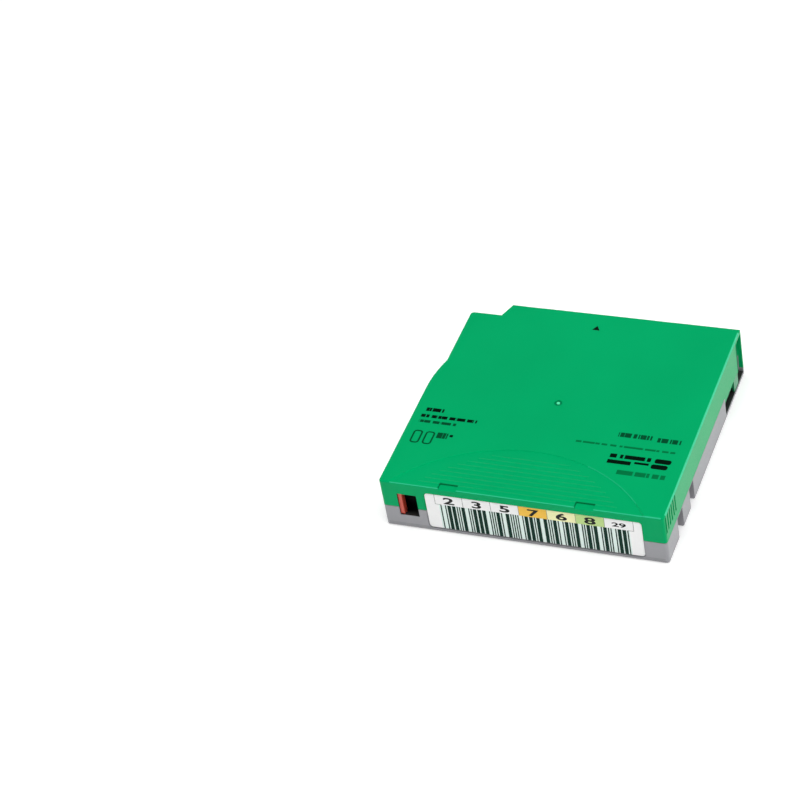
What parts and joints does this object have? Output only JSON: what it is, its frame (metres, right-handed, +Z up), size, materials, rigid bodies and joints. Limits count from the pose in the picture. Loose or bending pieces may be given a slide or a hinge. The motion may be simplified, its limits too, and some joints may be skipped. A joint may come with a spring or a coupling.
{
  "type": "data tape cartridge",
  "caption": "Flat two-shell tape cartridge with one braked reel, a sliding corner door over the leader pin, a write-protect slider and a label recess.",
  "frame": {"origin": "centre of the case's outline at its flat bottom face", "axes": "+X to the right seen from the label side, +Y the way the cartridge goes into a drive, +Z up"},
  "size_m": [0.1054, 0.102, 0.0215],
  "materials": {
    "shell_green": "fine moulded texture",
    "shell_grey": "fine moulded texture",
    "hub_plastic": "glass-filled, satin",
    "flange_plastic": "clear-grey, smooth",
    "plate_steel": "stamped, bright",
    "tape_film": "dark coated film",
    "brake_plastic": "slippery white",
    "pad_plastic": "slippery black",
    "spring_steel": "drawn wire",
    "slider_red": "smooth",
    "pin_steel": "turned, polished",
    "clip_plastic": "smooth",
    "tag_board": "lacquered board",
    "chip_resin": "potted resin",
    "label_paper": "coated paper",
    "screw_steel": "zinc plated"
  },
  "bodies": {
    "case": {"top_shell": "shell_green", "bottom_shell": "shell_grey", "tape_run": "tape_film", "brake_spring": "spring_steel", "door_spring": "spring_steel", "leader_pin": "pin_steel", "leader_clip": "clip_plastic", "leader_pin_spring": "spring_steel", "memory_board": "tag_board", "memory_chip": "chip_resin", "volume_label": "label_paper", "shell_screws": "screw_steel"},
    "reel": {"reel_hub": "hub_plastic", "upper_flange": "flange_plastic", "reel_plate": "plate_steel", "tape_pack": "tape_film"},
    "release_pad": {"release_pad": "pad_plastic"},
    "brake_button": {"brake_button": "brake_plastic"},
    "door": {"door": "shell_green"},
    "write_protect_slider": {"write_protect_slider": "slider_red"}
  },
  "joints": [
    {"name": "reel_spin", "type": "hinge", "parent": "case", "child": "reel", "pos_m": [-0.0014, 0, 0.0104], "axis": [0, 0, 1], "continuous": true},
    {"name": "brake_lift", "type": "slide", "parent": "case", "child": "brake_button", "axis": [0, 0, 1], "range_m": [0, 0.0018], "stiffness_N_per_m": 400, "springref_m": -0.008, "deforming": ["brake_spring"]},
    {"name": "pad_lift", "type": "slide", "parent": "reel", "child": "release_pad", "axis": [0, 0, 1], "range_m": [0, 0.0018]},
    {"name": "door_slide", "type": "slide", "parent": "case", "child": "door", "axis": [0, -1, 0], "range_m": [0, 0.011], "stiffness_N_per_m": 60, "springref_m": -0.012, "deforming": ["door_spring"]},
    {"name": "write_protect_slide", "type": "slide", "parent": "case", "child": "write_protect_slider", "axis": [1, 0, 0], "range_m": [0, 0.0057]}
  ],
  "couplings": [
    {"joint": "pad_lift", "follows": "brake_lift", "ratio": 1}
  ]
}
